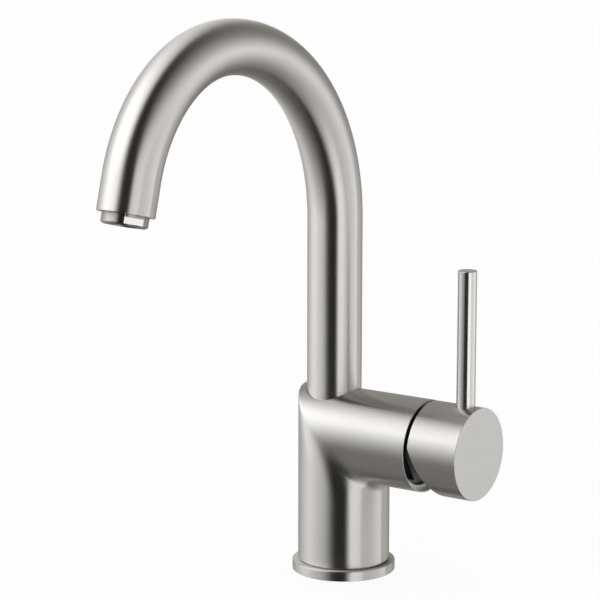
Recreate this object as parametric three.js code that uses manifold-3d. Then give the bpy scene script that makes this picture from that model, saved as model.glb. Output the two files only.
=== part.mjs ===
// Gooseneck bar faucet with a side lever, as separate solids in millimetres.
// +Z is up from the deck, the handle points along +X and the spout reaches along -Y.
// The origin is on the deck surface, at the centre of the foot.

import * as THREE from 'three';
import { mergeVertices } from 'three/addons/utils/BufferGeometryUtils.js';
import Module from 'manifold-3d';

const wasm = await Module();
wasm.setup();

// ---- Clearances ------------------------------------------------------------

const fitGap = 0.3;            // between pieces that are screwed, pressed or seated together
const runGap = 0.2;            // round a pin or a ring that turns or slides
const cutPast = 1;             // how far a cutter runs past the face that it opens

// ---- Body: a vertical column and a horizontal barrel, mitred together -------

const bodyRadius = 23.5;
const barrelAxisZ = 71.8;
const barrelMouthX = 50.7;
const edgeBreak = 0.4;         // small chamfer on turned edges
const columnWall = 3.5;
const mitreOuterRound = 0.5;   // radius of the rounded corner on the outside of the elbow
const mitreInnerRound = 4.5;   // and on the inside, under the barrel

// ---- Foot --------------------------------------------------------------------

const flangeWidth = 2.9;       // how far the flange stands out from the column
const flangeHeight = 5.1;
const flangeLand = 0.3;        // raised land that carries the body and leaves the shadow groove
const landInset = 0.9;
const spigotHeight = 3.5;
const spigotWall = 1.2;
const footCavityTop = 46;
const gasketInset = 2.1;       // from the flange's bore to the gasket
const gasketWidth = 3;
const gasketGroove = 1.6;
const inletSocketRadius = 4.6; // hose end, M10 x 1
const inletSocketDepth = 8;
const studSocketRadius = 4;    // fixing stud, M8
const studSocketDepth = 10;
const studSocketX = -12;

// ---- Spout -------------------------------------------------------------------

const spoutAxisX = -6.25;
const tubeRadius = 14;
const tubeWall = 1.2;
const tubeBottomZ = 88;
const bendStartZ = 182.5;
const rearBendRadius = 94;
const frontBendRadius = 74;
const bendSweep = THREE.MathUtils.degToRad(164.5);
const outletStraight = 16;
const bendFlattening = 0.04;   // the bend pulls the tube this much out of round
const flatteningRamp = THREE.MathUtils.degToRad(50);
const outletTaper = 0.979;     // the tube is drawn down this much from the top to the outlet

// ---- Spout socket, seals and bushings ---------------------------------------

const spoutBoreBottomZ = 59;
const nippleWall = 3.5;        // at the spigot that enters the tube
const nippleFloor = 6;
const nippleSpigot = 10;
const retainGrooveZ = 62.6;
const retainGrooveWidth = 4;
const retainGrooveDepth = 1.8;
const lowerBushingZ = 67.1;
const upperBushingZ = 85.7;
const bushingWidth = 2.6;
const bushingGrooveDepth = 1.7;
const bushingSplit = 1.2;
const lowerRingZ = 71.1;
const upperRingZ = 82.2;
const ringGrooveWidth = 2.8;
const ringGrooveDepth = 2.3;
const waterwayWidth = 6.4;
const waterwayDepth = 2.4;
const windowRadius = 2.8;
const windowCount = 4;
const waterwayZ = 76.8;
const retainScrewRadius = 2.5;
const retainTipRadius = 1.7;
const hexKeyRadius = 1.4;
const hexKeyDepth = 2.2;
const screwRecess = 0.8;

// ---- Outlet and aerator -------------------------------------------------------

const ferruleWall = 0.9;
const ferruleRecess = 1.5;     // from the tube's end, which leaves a dark line round the aerator
const ferruleShoulder = 1.2;
const ferruleShoulderWidth = 2.3;
const aeratorWall = 1.6;
const aeratorDrop = 5.3;       // how far the aerator shows below the end of the tube
const aeratorTop = 6.6;
const aeratorLipWidth = 0.4;
const aeratorLipHeight = 0.5;
const aeratorChamferWidth = 1;
const aeratorChamferHeight = 0.8;
const wrenchFlatDepth = 1.1;
const wrenchFlatHeight = 3.1;  // upwards from the chamfer
const wrenchFlatTurn = THREE.MathUtils.degToRad(-28);
const screenThickness = 0.6;
const insertWall = 1.1;
const insertRibs = 6;
const washerThickness = 1.4;

// ---- Cartridge: sizes along the barrel's axis, measured from the column's axis -

const seatX = 18;
const cartridgeRadius = 17.5;
const cartridgeWall = 1.5;
const baseThickness = 5;
const portRadius = 3;
const inletPortSide = 7;       // sideways from the barrel's axis
const inletPortRise = 6.5;     // above the barrel's axis, the way the open disc moves
const outletPortDrop = 5;      // below the barrel's axis
const riserX = 11.5;           // vertical inlet bores
const outletRiserX = 12.5;     // short bore that lifts the outlet to the nipple's windows
const outletRiserRadius = 2.6;
const discPortRadius = 2.8;
const discPortNearness = 0.83; // the discs' ports stand this much nearer to the barrel's axis
const portSealWall = 1.3;
const portSealDepth = 2;
const discSealThickness = 0.8;
const discSealRadius = 12.5;
const fixedDiscRadius = 15;
const fixedDiscThickness = 4;
const movingDiscRadius = 11.8;
const movingDiscThickness = 3.5;
const mixingPocketRadius = 4.6;
const mixingPocketLength = 4;  // between the centres of the pocket's round ends
const mixingPocketDepth = 1.8;
const discKeyWidth = 3;        // notches that keep the fixed disc from turning
const discKeyDepth = 1.2;
const carrierThickness = 4.6;
const rotorFlangeRadius = 14.5;
const rotorFlangeThickness = 2.3;
const rotorHubRadius = 10;
const rotorHubLength = 7.9;
const housingTopThickness = 2;
const neckWall = 2.2;
const neckLength = 6;
const nutThreadLength = 4;
const nutHexLength = 3.5;
const nutThreadDepth = 2.5;    // how far the nut's thread stands out from the cartridge
const nutHexInset = 1.5;       // from the thread to the hexagon's corners
const nutBoreLead = 0.8;       // how far the nut's counterbore starts before its seat

// ---- Stem ----------------------------------------------------------------------

const stemHalf = 4;            // half of the square stem's side
const stemPivotInset = 2.5;    // from the rotor's outer end to the pivot
const stemBehindPivot = 3.8;
const stemEndX = 66.5;
const ballInset = 0.9;         // from the carrier's outer face to the ball's centre
const stemBallRadius = 2.6;
const stemNeckRadius = 1.7;
const pivotPinRadius = 1.5;
const pivotPinEnd = 0.6;       // how far each end of the pin lies inside the rotor's hub
const slotClearance = 2.7;     // room above and below the stem and its ball, for their tilt

// ---- Handle ----------------------------------------------------------------------

const capInset = 0.1;          // how much smaller the cap's radius is than the barrel's
const capFaceX = 80.7;
const capWall = 3;
const capCavityX = 66;
const rimGap = 2;              // between the barrel's mouth and the upper rim
const rimBreakRise = 3.8;      // above the barrel's axis, where the rim starts to lean
const rimLean = THREE.MathUtils.degToRad(25); // the cut-away below gives the lever its travel
const bossRadius = 9;
const bossX = 56.5;
const pinInset = 8.2;          // from the cap's face to the pin's axis
const pinRadius = 4.75;
const pinTopZ = 163.7;
const pinSeatRise = 12;        // the pin's shoulder, above the barrel's axis
const pinStudRadius = 2.5;
const pinStudLength = 6;
const setScrewInset = 4;       // from the boss's inner end to the set screw's axis
const setScrewLength = 4.6;

// ---- Facets --------------------------------------------------------------------

const roundFine = 40;
const roundMedium = 24;
const roundSmall = 16;
const tubeOutside = 28;
const tubeInside = 20;
const tubeSteps = 34;
const ringSection = 8;         // corners of an O-ring's section
const mitreSteps = 3;
const mergeDistance = 1e-4;

// ---- Materials -------------------------------------------------------------------

function finish(color, roughness, metalness) {
  return () => new THREE.MeshStandardMaterial({ color, roughness, metalness });
}

const brushedNickel = finish(0xb4b2ad, 0.32, 1);
const polishedSteel = finish(0xcfcdc9, 0.15, 1);
const rawBrass = finish(0xb8975a, 0.4, 1);
const blackRubber = finish(0x1c1c1c, 0.85, 0);
const whiteAcetal = finish(0xe4e1d8, 0.5, 0);
const greyNylon = finish(0x6d7073, 0.55, 0);
const ceramic = finish(0xf0eee8, 0.2, 0);

// ---- Making solids ----------------------------------------------------------------

// A closed solid from a geometry, with its shared corners merged and its faces out.
function solid(geometry) {
  const bare = geometry.clone();
  bare.deleteAttribute('normal');
  bare.deleteAttribute('uv');
  const merged = mergeVertices(bare, mergeDistance);
  const index = [];
  const source = merged.index.array;
  for (let i = 0; i < source.length; i += 3) {
    const [a, b, c] = [source[i], source[i + 1], source[i + 2]];
    if (a !== b && b !== c && c !== a) index.push(a, b, c);
  }
  const vertProperties = new Float32Array(merged.attributes.position.array);
  if (signedVolume(vertProperties, index) < 0) index.reverse();
  return new wasm.Manifold(new wasm.Mesh({
    numProp: 3,
    vertProperties,
    triVerts: new Uint32Array(index),
  }));
}

function signedVolume(points, index) {
  const corner = [new THREE.Vector3(), new THREE.Vector3(), new THREE.Vector3()];
  let volume = 0;
  for (let i = 0; i < index.length; i += 3) {
    corner.forEach((v, k) => v.fromArray(points, 3 * index[i + k]));
    volume += corner[0].dot(corner[1].cross(corner[2])) / 6;
  }
  return volume;
}

function geometryOf(manifold) {
  const { vertProperties, triVerts } = manifold.getMesh();
  const geometry = new THREE.BufferGeometry();
  geometry.setAttribute('position', new THREE.BufferAttribute(vertProperties, 3));
  geometry.setIndex(new THREE.BufferAttribute(triVerts, 1));
  const flat = geometry.toNonIndexed();
  flat.computeVertexNormals();
  return flat;
}

// A profile of [radius, height] points, turned about the Z axis.
function turned(profile, segments = roundMedium) {
  const points = profile.map(([r, z]) => new THREE.Vector2(r, z));
  return solid(new THREE.LatheGeometry(points, segments).rotateX(Math.PI / 2));
}

function disc(radius, bottom, top, segments = roundMedium) {
  return turned([[0, bottom], [radius, bottom], [radius, top], [0, top]], segments);
}

function ring(inner, outer, bottom, top, segments = roundMedium) {
  return turned([[inner, bottom], [outer, bottom], [outer, top], [inner, top], [inner, bottom]], segments);
}

// A round rubber ring with a circular section.
function roundRing(centreRadius, sectionRadius, height) {
  const profile = [];
  for (let i = 0; i <= ringSection; i += 1) {
    const a = (2 * Math.PI * i) / ringSection;
    profile.push([centreRadius + sectionRadius * Math.cos(a), height + sectionRadius * Math.sin(a)]);
  }
  return turned(profile, roundMedium);
}

function block(sizeX, sizeY, sizeZ, x, y, z) {
  return solid(new THREE.BoxGeometry(sizeX, sizeY, sizeZ).translate(x, y, z));
}

// A bore or rod along a chosen axis: from `start`, `length` long towards the axis' direction.
const towards = {
  up: (g) => g,
  right: (g) => g.rotateY(Math.PI / 2),
  left: (g) => g.rotateY(-Math.PI / 2),
  back: (g) => g.rotateX(-Math.PI / 2),
};

function rod(radius, start, length, direction, segments = roundSmall) {
  const along = new THREE.CylinderGeometry(radius, radius, length, segments);
  along.rotateX(Math.PI / 2).translate(0, 0, length / 2);
  return solid(towards[direction](along).translate(...start));
}

function cut(body, ...cutters) {
  return cutters.reduce((rest, cutter) => rest.subtract(cutter), body);
}

function joined(first, ...others) {
  return others.reduce((whole, other) => whole.add(other), first);
}

function piece(name, manifold, material) {
  const mesh = new THREE.Mesh(geometryOf(manifold), material());
  mesh.name = name;
  return mesh;
}

// ---- Places along the barrel, worked out from the stack of the cartridge --------

const baseBottom = seatX + fitGap;
const baseTop = baseBottom + baseThickness;
const fixedDiscBottom = baseTop + fitGap;
const fixedDiscTop = fixedDiscBottom + fixedDiscThickness;
const movingDiscBottom = fixedDiscTop + runGap;
const movingDiscTop = movingDiscBottom + movingDiscThickness;
const carrierBottom = movingDiscTop + runGap;
const carrierTop = carrierBottom + carrierThickness;
const rotorBottom = carrierTop + runGap;
const rotorFlangeTop = rotorBottom + rotorFlangeThickness;
const rotorTop = rotorFlangeTop + rotorHubLength;
const housingTopInside = rotorFlangeTop + runGap;
const housingTop = housingTopInside + housingTopThickness;
const stemPivotX = rotorTop - stemPivotInset;
const ballX = carrierTop - ballInset;

// ---- Body shell ---------------------------------------------------------------

const bodyBottomZ = flangeHeight + flangeLand + fitGap;
const footCavityRadius = bodyRadius - columnWall;
const spoutBore = tubeRadius + fitGap;
const cartridgeBore = cartridgeRadius + fitGap;
const nutRadius = cartridgeRadius + nutThreadDepth;
const nutBore = nutRadius + fitGap;
const nutBoreX = housingTop - nutBoreLead;
const inletPortZ = barrelAxisZ + inletPortRise;
const outletPortZ = barrelAxisZ - outletPortDrop;

// Column and barrel of one radius, joined on the 45 degree plane through the barrel's axis.
// Each straight line of the surface climbs the column, turns a small round corner at that plane
// and runs out along the barrel, so a cylinder cut into rings is moved ring by ring into place.
function mitredElbow(radius) {
  const rings = mitreSteps + 2;
  const geometry = new THREE.CylinderGeometry(radius, radius, rings, roundFine, rings);
  geometry.rotateX(Math.PI / 2).translate(0, 0, rings / 2);
  const place = geometry.attributes.position;
  for (let i = 0; i < place.count; i += 1) {
    const x = place.getX(i);
    const level = Math.round(place.getZ(i));
    const mitreZ = barrelAxisZ - x;
    const inwards = (x + radius) / (2 * radius);
    const round = THREE.MathUtils.lerp(mitreOuterRound, mitreInnerRound, inwards);
    if (level === 0) {
      place.setZ(i, bodyBottomZ);
    } else if (level === rings) {
      place.setX(i, barrelMouthX);
      place.setZ(i, mitreZ);
    } else {
      const turn = (Math.PI / 2) * ((level - 1) / mitreSteps);
      place.setX(i, x + round * (1 - Math.cos(turn)));
      place.setZ(i, mitreZ - round * (1 - Math.sin(turn)));
    }
  }
  return solid(geometry);
}

function bodyShell() {
  const seatCutX = seatX + cutPast;
  const inlets = [-inletPortSide, inletPortSide].flatMap((y) => [
    rod(inletSocketRadius, [riserX, y, footCavityTop - cutPast], inletSocketDepth + cutPast, 'up'),
    rod(portRadius, [riserX, y, footCavityTop], inletPortZ - footCavityTop, 'up'),
    rod(portRadius, [riserX - portRadius, y, inletPortZ], seatCutX - riserX + portRadius, 'right'),
  ]);
  const chamberX = spoutAxisX + tubeRadius - portRadius;
  const outletX = outletRiserX - portRadius;
  const outlet = [
    rod(portRadius, [outletX, 0, outletPortZ], seatCutX - outletX, 'right'),
    rod(outletRiserRadius, [outletRiserX, 0, outletPortZ], waterwayZ - outletPortZ, 'up'),
    rod(portRadius, [chamberX, 0, waterwayZ], outletRiserX + portRadius - chamberX, 'right'),
  ];
  const spoutBoreLength = barrelAxisZ + bodyRadius + cutPast - spoutBoreBottomZ;
  return cut(
    mitredElbow(bodyRadius),
    disc(footCavityRadius, bodyBottomZ - cutPast, footCavityTop, roundFine),
    rod(cartridgeBore, [seatX, 0, barrelAxisZ], barrelMouthX + cutPast - seatX, 'right', roundFine),
    rod(nutBore, [nutBoreX, 0, barrelAxisZ], barrelMouthX + cutPast - nutBoreX, 'right', roundFine),
    rod(spoutBore, [spoutAxisX, 0, spoutBoreBottomZ], spoutBoreLength, 'up', roundFine),
    rod(studSocketRadius, [studSocketX, 0, footCavityTop - cutPast], studSocketDepth + cutPast, 'up'),
    rod(retainScrewRadius + fitGap, [spoutAxisX, 0, retainGrooveZ], bodyRadius + cutPast, 'back'),
    ...inlets,
    ...outlet,
  );
}

// ---- Foot --------------------------------------------------------------------

const flangeRadius = bodyRadius + flangeWidth;
const spigotRadius = footCavityRadius - fitGap;
const flangeBore = spigotRadius - spigotWall;
const gasketInner = flangeBore + gasketInset;
const gasketOuter = gasketInner + gasketWidth;

function baseFlange() {
  const landTop = flangeHeight + flangeLand;
  return turned([
    [flangeBore, 0],
    [gasketInner - fitGap, 0],
    [gasketInner - fitGap, gasketGroove],
    [gasketOuter + fitGap, gasketGroove],
    [gasketOuter + fitGap, 0],
    [flangeRadius - edgeBreak, 0],
    [flangeRadius, edgeBreak],
    [flangeRadius, flangeHeight - edgeBreak],
    [flangeRadius - edgeBreak, flangeHeight],
    [bodyRadius - landInset, flangeHeight],
    [bodyRadius - landInset, landTop],
    [spigotRadius, landTop],
    [spigotRadius, landTop + spigotHeight],
    [flangeBore, landTop + spigotHeight],
    [flangeBore, 0],
  ], roundFine);
}

function baseGasket() {
  return ring(gasketInner, gasketOuter, 0, gasketGroove - fitGap);
}

// A socket screw with its point at `tip` and its length along Z; the key socket is at the far end.
function socketScrew(length) {
  const screw = turned([
    [0, 0],
    [retainTipRadius, 0],
    [retainTipRadius, retainGrooveDepth],
    [retainScrewRadius, retainGrooveDepth + edgeBreak],
    [retainScrewRadius, length],
    [0, length],
  ], roundSmall);
  const keyHexagon = new THREE.CylinderGeometry(hexKeyRadius, hexKeyRadius, hexKeyDepth + cutPast, 6);
  keyHexagon.rotateX(Math.PI / 2).translate(0, 0, length - hexKeyDepth / 2 + cutPast / 2);
  return cut(screw, solid(keyHexagon));
}

const foot = new THREE.Group();
foot.add(
  piece('body_shell', bodyShell(), brushedNickel),
  piece('base_flange', baseFlange(), brushedNickel),
  piece('base_gasket', baseGasket(), blackRubber),
);

const retainTipY = tubeRadius - retainGrooveDepth + runGap;
const columnBackY = Math.sqrt(bodyRadius ** 2 - spoutAxisX ** 2);
const retainScrew = piece(
  'spout_retaining_screw',
  socketScrew(columnBackY - screwRecess - retainTipY),
  polishedSteel,
);
retainScrew.position.set(spoutAxisX, retainTipY, retainGrooveZ);
retainScrew.rotation.x = -Math.PI / 2;
foot.add(retainScrew);

// ---- Spout -------------------------------------------------------------------

// The centreline of the gooseneck in the plane of its reach: up, round two tangent arcs,
// a wide one at the rear and a tighter one in front, and a short straight run to the outlet.
class Gooseneck extends THREE.Curve {
  constructor() {
    super();
    this.rise = bendStartZ - tubeBottomZ;
    this.rearArc = rearBendRadius * Math.PI / 2;
    this.frontArc = frontBendRadius * (bendSweep - Math.PI / 2);
    this.total = this.rise + this.rearArc + this.frontArc + outletStraight;
    this.frontCentreZ = bendStartZ + rearBendRadius - frontBendRadius;
  }

  // Reach, height and turned angle at a distance along the centreline.
  along(distance) {
    if (distance <= this.rise) return { reach: 0, z: tubeBottomZ + distance, angle: 0 };
    let left = distance - this.rise;
    if (left <= this.rearArc) {
      const angle = left / rearBendRadius;
      return {
        reach: rearBendRadius * (1 - Math.cos(angle)),
        z: bendStartZ + rearBendRadius * Math.sin(angle),
        angle,
      };
    }
    left -= this.rearArc;
    const angle = Math.min(Math.PI / 2 + left / frontBendRadius, bendSweep);
    const straight = Math.max(left - this.frontArc, 0);
    return {
      reach: rearBendRadius - frontBendRadius * Math.cos(angle) + straight * Math.sin(angle),
      z: this.frontCentreZ + frontBendRadius * Math.sin(angle) + straight * Math.cos(angle),
      angle,
    };
  }

  getPoint(t) {
    const { reach, z } = this.along(t * this.total);
    return new THREE.Vector3(0, -reach, z);
  }

  // The turned angle of the section that a point of the tube lies on.
  angleOf(reach, z) {
    if (reach < rearBendRadius) return Math.atan2(Math.max(z - bendStartZ, 0), rearBendRadius - reach);
    const turn = Math.PI - Math.atan2(z - this.frontCentreZ, reach - rearBendRadius);
    return Math.min(turn, bendSweep);
  }
}

const gooseneck = new Gooseneck();
const outletEnd = gooseneck.along(gooseneck.total);

function smooth(t) {
  return THREE.MathUtils.smoothstep(t, 0, 1);
}

// How far the bend flattens the section, as a share, at a turned angle.
function flattening(angle) {
  return bendFlattening * smooth(angle / flatteningRamp) * smooth((bendSweep - angle) / flatteningRamp);
}

// How far the section is drawn down at a turned angle.
function drawing(angle) {
  return 1 - (1 - outletTaper) * smooth((angle - Math.PI / 2) / (bendSweep - Math.PI / 2));
}

// Moves the round tube's surface to the bent tube's: flatter in the bend's plane, wider across
// it, and drawn down towards the outlet. Offsets are taken from the centreline.
function shapeBend(geometry) {
  const place = geometry.attributes.position;
  for (let i = 0; i < place.count; i += 1) {
    const reach = -place.getY(i);
    const z = place.getZ(i);
    const angle = gooseneck.angleOf(reach, z);
    const outward = new THREE.Vector2(-Math.cos(angle), Math.sin(angle));
    const front = angle > Math.PI / 2;
    const radius = front ? frontBendRadius : rearBendRadius;
    const centre = new THREE.Vector2(rearBendRadius, front ? gooseneck.frontCentreZ : bendStartZ);
    const offset = new THREE.Vector2(reach, z).sub(centre).dot(outward) - radius;
    const squeeze = drawing(angle) * (1 - flattening(angle)) - 1;
    place.setY(i, -(reach + outward.x * offset * squeeze));
    place.setZ(i, z + outward.y * offset * squeeze);
    place.setX(i, place.getX(i) * drawing(angle) * (1 + flattening(angle) / 2));
  }
  return geometry;
}

function circlePoints(radius, count) {
  return Array.from({ length: count }, (_, i) => {
    const a = (2 * Math.PI * i) / count;
    return new THREE.Vector2(radius * Math.cos(a), radius * Math.sin(a));
  });
}

function spoutTube() {
  const section = new THREE.Shape(circlePoints(tubeRadius, tubeOutside));
  section.holes.push(new THREE.Path(circlePoints(tubeRadius - tubeWall, tubeInside).reverse()));
  return solid(shapeBend(new THREE.ExtrudeGeometry(section, {
    steps: tubeSteps,
    bevelEnabled: false,
    extrudePath: gooseneck,
  })));
}

// The turned plug on the tube's lower end: it carries the seals and bushings, lets the water in
// through its windows, and holds the spout down by its groove.
function spoutNipple() {
  const shoulderZ = tubeBottomZ - fitGap;
  const spigot = tubeRadius - tubeWall - fitGap;
  const bore = spigot - nippleWall;
  const bottomZ = spoutBoreBottomZ + fitGap;
  const groove = (centre, width, depth) => [
    [tubeRadius, centre - width / 2],
    [tubeRadius - depth, centre - width / 2],
    [tubeRadius - depth, centre + width / 2],
    [tubeRadius, centre + width / 2],
  ];
  const plug = turned([
    [0, bottomZ],
    [tubeRadius, bottomZ],
    ...groove(retainGrooveZ, retainGrooveWidth, retainGrooveDepth),
    ...groove(lowerBushingZ, bushingWidth + fitGap, bushingGrooveDepth),
    ...groove(lowerRingZ, ringGrooveWidth, ringGrooveDepth),
    ...groove(waterwayZ, waterwayWidth, waterwayDepth),
    ...groove(upperRingZ, ringGrooveWidth, ringGrooveDepth),
    ...groove(upperBushingZ, bushingWidth + fitGap, bushingGrooveDepth),
    [tubeRadius, shoulderZ],
    [spigot, shoulderZ],
    [spigot, tubeBottomZ + nippleSpigot],
    [bore, tubeBottomZ + nippleSpigot],
    [bore, bottomZ + nippleFloor],
    [0, bottomZ + nippleFloor],
  ]);
  const windows = Array.from({ length: windowCount }, (_, i) => (
    rod(windowRadius, [0, 0, waterwayZ], tubeRadius, 'right')
      .rotate([0, 0, (360 * (i + 0.5)) / windowCount])
  ));
  return cut(plug, ...windows);
}

function splitBushing(height) {
  const inner = tubeRadius - bushingGrooveDepth + runGap;
  const band = ring(inner, spoutBore - runGap, height - bushingWidth / 2, height + bushingWidth / 2);
  return cut(band, block(tubeRadius, bushingSplit, 2 * bushingWidth, tubeRadius, 0, height));
}

function spoutRing(height) {
  const inner = tubeRadius - ringGrooveDepth + runGap / 2;
  const outer = spoutBore - runGap / 2;
  return roundRing((inner + outer) / 2, (outer - inner) / 2, height);
}

const spout = new THREE.Group();
spout.position.x = spoutAxisX;
spout.add(
  piece('spout_tube', spoutTube(), brushedNickel),
  piece('spout_nipple', spoutNipple(), rawBrass),
  piece('lower_spout_bushing', splitBushing(lowerBushingZ), whiteAcetal),
  piece('upper_spout_bushing', splitBushing(upperBushingZ), whiteAcetal),
  piece('lower_spout_o_ring', spoutRing(lowerRingZ), blackRubber),
  piece('upper_spout_o_ring', spoutRing(upperRingZ), blackRubber),
);

// ---- Outlet: its group stands on the end of the tube, with +Z pointing upstream ------

const ferruleOuter = (tubeRadius - tubeWall) * outletTaper - fitGap;
const ferruleBore = ferruleOuter - ferruleWall;
const ferruleShoulderBore = ferruleBore - ferruleShoulderWidth;
const aeratorRadius = ferruleBore - fitGap;
const aeratorBore = aeratorRadius - aeratorWall;
const washerBottom = aeratorTop + fitGap;
const ferruleShoulderZ = washerBottom + washerThickness + fitGap;

function outletFerrule() {
  const top = ferruleShoulderZ + ferruleShoulder;
  return turned([
    [ferruleBore, ferruleRecess],
    [ferruleOuter, ferruleRecess],
    [ferruleOuter, top],
    [ferruleShoulderBore, top],
    [ferruleShoulderBore, ferruleShoulderZ],
    [ferruleBore, ferruleShoulderZ],
    [ferruleBore, ferruleRecess],
  ]);
}

function aeratorHousing() {
  const lip = aeratorBore - aeratorLipWidth;
  const shell = turned([
    [lip, -aeratorDrop],
    [aeratorRadius - aeratorChamferWidth, -aeratorDrop],
    [aeratorRadius, aeratorChamferHeight - aeratorDrop],
    [aeratorRadius, aeratorTop],
    [aeratorBore, aeratorTop],
    [aeratorBore, aeratorLipHeight - aeratorDrop],
    [lip, aeratorLipHeight - aeratorDrop],
    [lip, -aeratorDrop],
  ]);
  const depth = aeratorRadius;
  const distance = aeratorRadius - wrenchFlatDepth + depth / 2;
  const height = aeratorChamferHeight + wrenchFlatHeight / 2 - aeratorDrop;
  const flats = [-1, 1].map((side) => (
    block(depth, 2 * aeratorRadius, wrenchFlatHeight, side * distance, 0, height)
      .rotate([0, 0, THREE.MathUtils.radToDeg(wrenchFlatTurn)])
  ));
  return cut(shell, ...flats);
}

const screenBottom = aeratorLipHeight + fitGap - aeratorDrop;
const insertBottom = screenBottom + screenThickness + fitGap;
const insertRadius = aeratorBore - fitGap;

function aeratorInsert() {
  const wall = ring(insertRadius - insertWall, insertRadius, insertBottom, aeratorTop);
  const ribLength = insertRadius - insertWall / 2;
  const ribs = Array.from({ length: insertRibs }, (_, i) => (
    block(ribLength, insertWall, aeratorTop - insertBottom, ribLength / 2, 0, (aeratorTop + insertBottom) / 2)
      .rotate([0, 0, (360 * i) / insertRibs])
  ));
  return joined(wall, ...ribs);
}

function aeratorScreen() {
  return disc(insertRadius, screenBottom, screenBottom + screenThickness);
}

function aeratorWasher() {
  return ring(ferruleShoulderBore, ferruleBore - fitGap, washerBottom, washerBottom + washerThickness);
}

const outlet = new THREE.Group();
outlet.position.set(0, -outletEnd.reach, outletEnd.z);
outlet.rotation.x = bendSweep - Math.PI;
outlet.add(
  piece('outlet_ferrule', outletFerrule(), rawBrass),
  piece('aerator_housing', aeratorHousing(), polishedSteel),
  piece('aerator_insert', aeratorInsert(), greyNylon),
  piece('aerator_screen', aeratorScreen(), polishedSteel),
  piece('aerator_washer', aeratorWasher(), blackRubber),
);
spout.add(outlet);

// ---- Cartridge: its group lies in the barrel, with its Z along the barrel -------------
// In this group the world's up is -X.

const neckOuter = rotorHubRadius + runGap + neckWall;
const ports = {
  hot: [-inletPortRise, inletPortSide],
  cold: [-inletPortRise, -inletPortSide],
  outlet: [outletPortDrop, 0],
};

function portHoles(radius, bottom, top) {
  return Object.values(ports).map(([x, y]) => rod(radius, [x, y, bottom], top - bottom, 'up'));
}

// The same ports further on, where the moving disc can cover all of them.
function discPortHoles(bottom, top) {
  return Object.values(ports).map(([x, y]) => (
    rod(discPortRadius, [discPortNearness * x, discPortNearness * y, bottom], top - bottom, 'up')
  ));
}

function cartridgeBase() {
  const plate = disc(cartridgeRadius, baseBottom, baseTop);
  const sealRecess = portRadius + portSealWall + runGap;
  return cut(
    plate,
    ...portHoles(portRadius, baseBottom - cutPast, baseBottom + portSealDepth + cutPast),
    ...discPortHoles(baseBottom + portSealDepth, baseTop + cutPast),
    ...portHoles(sealRecess, baseBottom - cutPast, baseBottom + portSealDepth),
    disc(discSealRadius + runGap, baseTop - discSealThickness, baseTop + cutPast),
  );
}

function portSeal([x, y]) {
  const bottom = seatX + runGap / 2;
  const top = baseBottom + portSealDepth - runGap / 2;
  return ring(portRadius, portRadius + portSealWall, bottom, top, roundSmall).translate([x, y, 0]);
}

function discSeal() {
  const bottom = baseTop - discSealThickness + runGap / 2;
  const top = fixedDiscBottom - runGap / 2;
  return cut(disc(discSealRadius, bottom, top), ...discPortHoles(bottom - cutPast, top + cutPast));
}

function fixedDisc() {
  const plate = disc(fixedDiscRadius, fixedDiscBottom, fixedDiscTop);
  const notches = [-1, 1].map((side) => (
    block(discKeyWidth, 2 * discKeyDepth, 3 * fixedDiscThickness, 0, side * fixedDiscRadius, fixedDiscTop)
  ));
  return cut(plate, ...discPortHoles(fixedDiscBottom - cutPast, fixedDiscTop + cutPast), ...notches);
}

// Its pocket always covers the outlet, and reaches the inlets when the disc slides up.
function movingDisc() {
  const plate = disc(movingDiscRadius, movingDiscBottom, movingDiscTop);
  const depth = mixingPocketDepth + cutPast;
  const ends = [0, mixingPocketLength].map((x) => (
    rod(mixingPocketRadius, [x, 0, movingDiscBottom - cutPast], depth, 'up', roundMedium)
  ));
  const middle = block(
    mixingPocketLength, 2 * mixingPocketRadius, depth,
    mixingPocketLength / 2, 0, movingDiscBottom - cutPast + depth / 2,
  );
  return cut(plate, ...ends, middle);
}

function discCarrier() {
  const plate = disc(movingDiscRadius, carrierBottom, carrierTop);
  const socketRadius = stemBallRadius + fitGap;
  return cut(plate, rod(socketRadius, [0, 0, ballX - socketRadius], 2 * carrierThickness, 'up'));
}

function cartridgeHousing() {
  const inside = cartridgeRadius - cartridgeWall;
  const neckInside = rotorHubRadius + runGap;
  return turned([
    [inside, baseTop + fitGap],
    [cartridgeRadius, baseTop + fitGap],
    [cartridgeRadius, housingTop],
    [neckOuter, housingTop],
    [neckOuter, housingTop + neckLength],
    [neckInside, housingTop + neckLength],
    [neckInside, housingTopInside],
    [inside, housingTopInside],
    [inside, baseTop + fitGap],
  ]);
}

function cartridgeNut() {
  const bottom = housingTop + fitGap;
  const hexBottom = bottom + nutThreadLength;
  const corner = nutRadius - nutHexInset;
  const hexagon = new THREE.CylinderGeometry(corner, corner, nutHexLength + cutPast, 6);
  hexagon.rotateX(Math.PI / 2).translate(0, 0, hexBottom + (nutHexLength - cutPast) / 2);
  return cut(
    joined(disc(nutRadius, bottom, hexBottom), solid(hexagon)),
    disc(neckOuter + fitGap, bottom - cutPast, hexBottom + nutHexLength + cutPast),
  );
}

const slotHalfHeight = stemHalf + slotClearance;
const slotHalfWidth = stemHalf + fitGap;

function pivotHole(radius, halfLength) {
  return rod(radius, [0, -halfLength, stemPivotX], 2 * halfLength, 'back');
}

function cartridgeRotor() {
  const hub = turned([
    [0, rotorBottom],
    [rotorFlangeRadius, rotorBottom],
    [rotorFlangeRadius, rotorFlangeTop],
    [rotorHubRadius, rotorFlangeTop],
    [rotorHubRadius, rotorTop],
    [0, rotorTop],
  ]);
  const height = rotorTop - rotorBottom + 2 * cutPast;
  return cut(
    hub,
    block(2 * slotHalfHeight, 2 * slotHalfWidth, height, 0, 0, (rotorTop + rotorBottom) / 2),
    pivotHole(pivotPinRadius + runGap, 2 * rotorHubRadius),
  );
}

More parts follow.
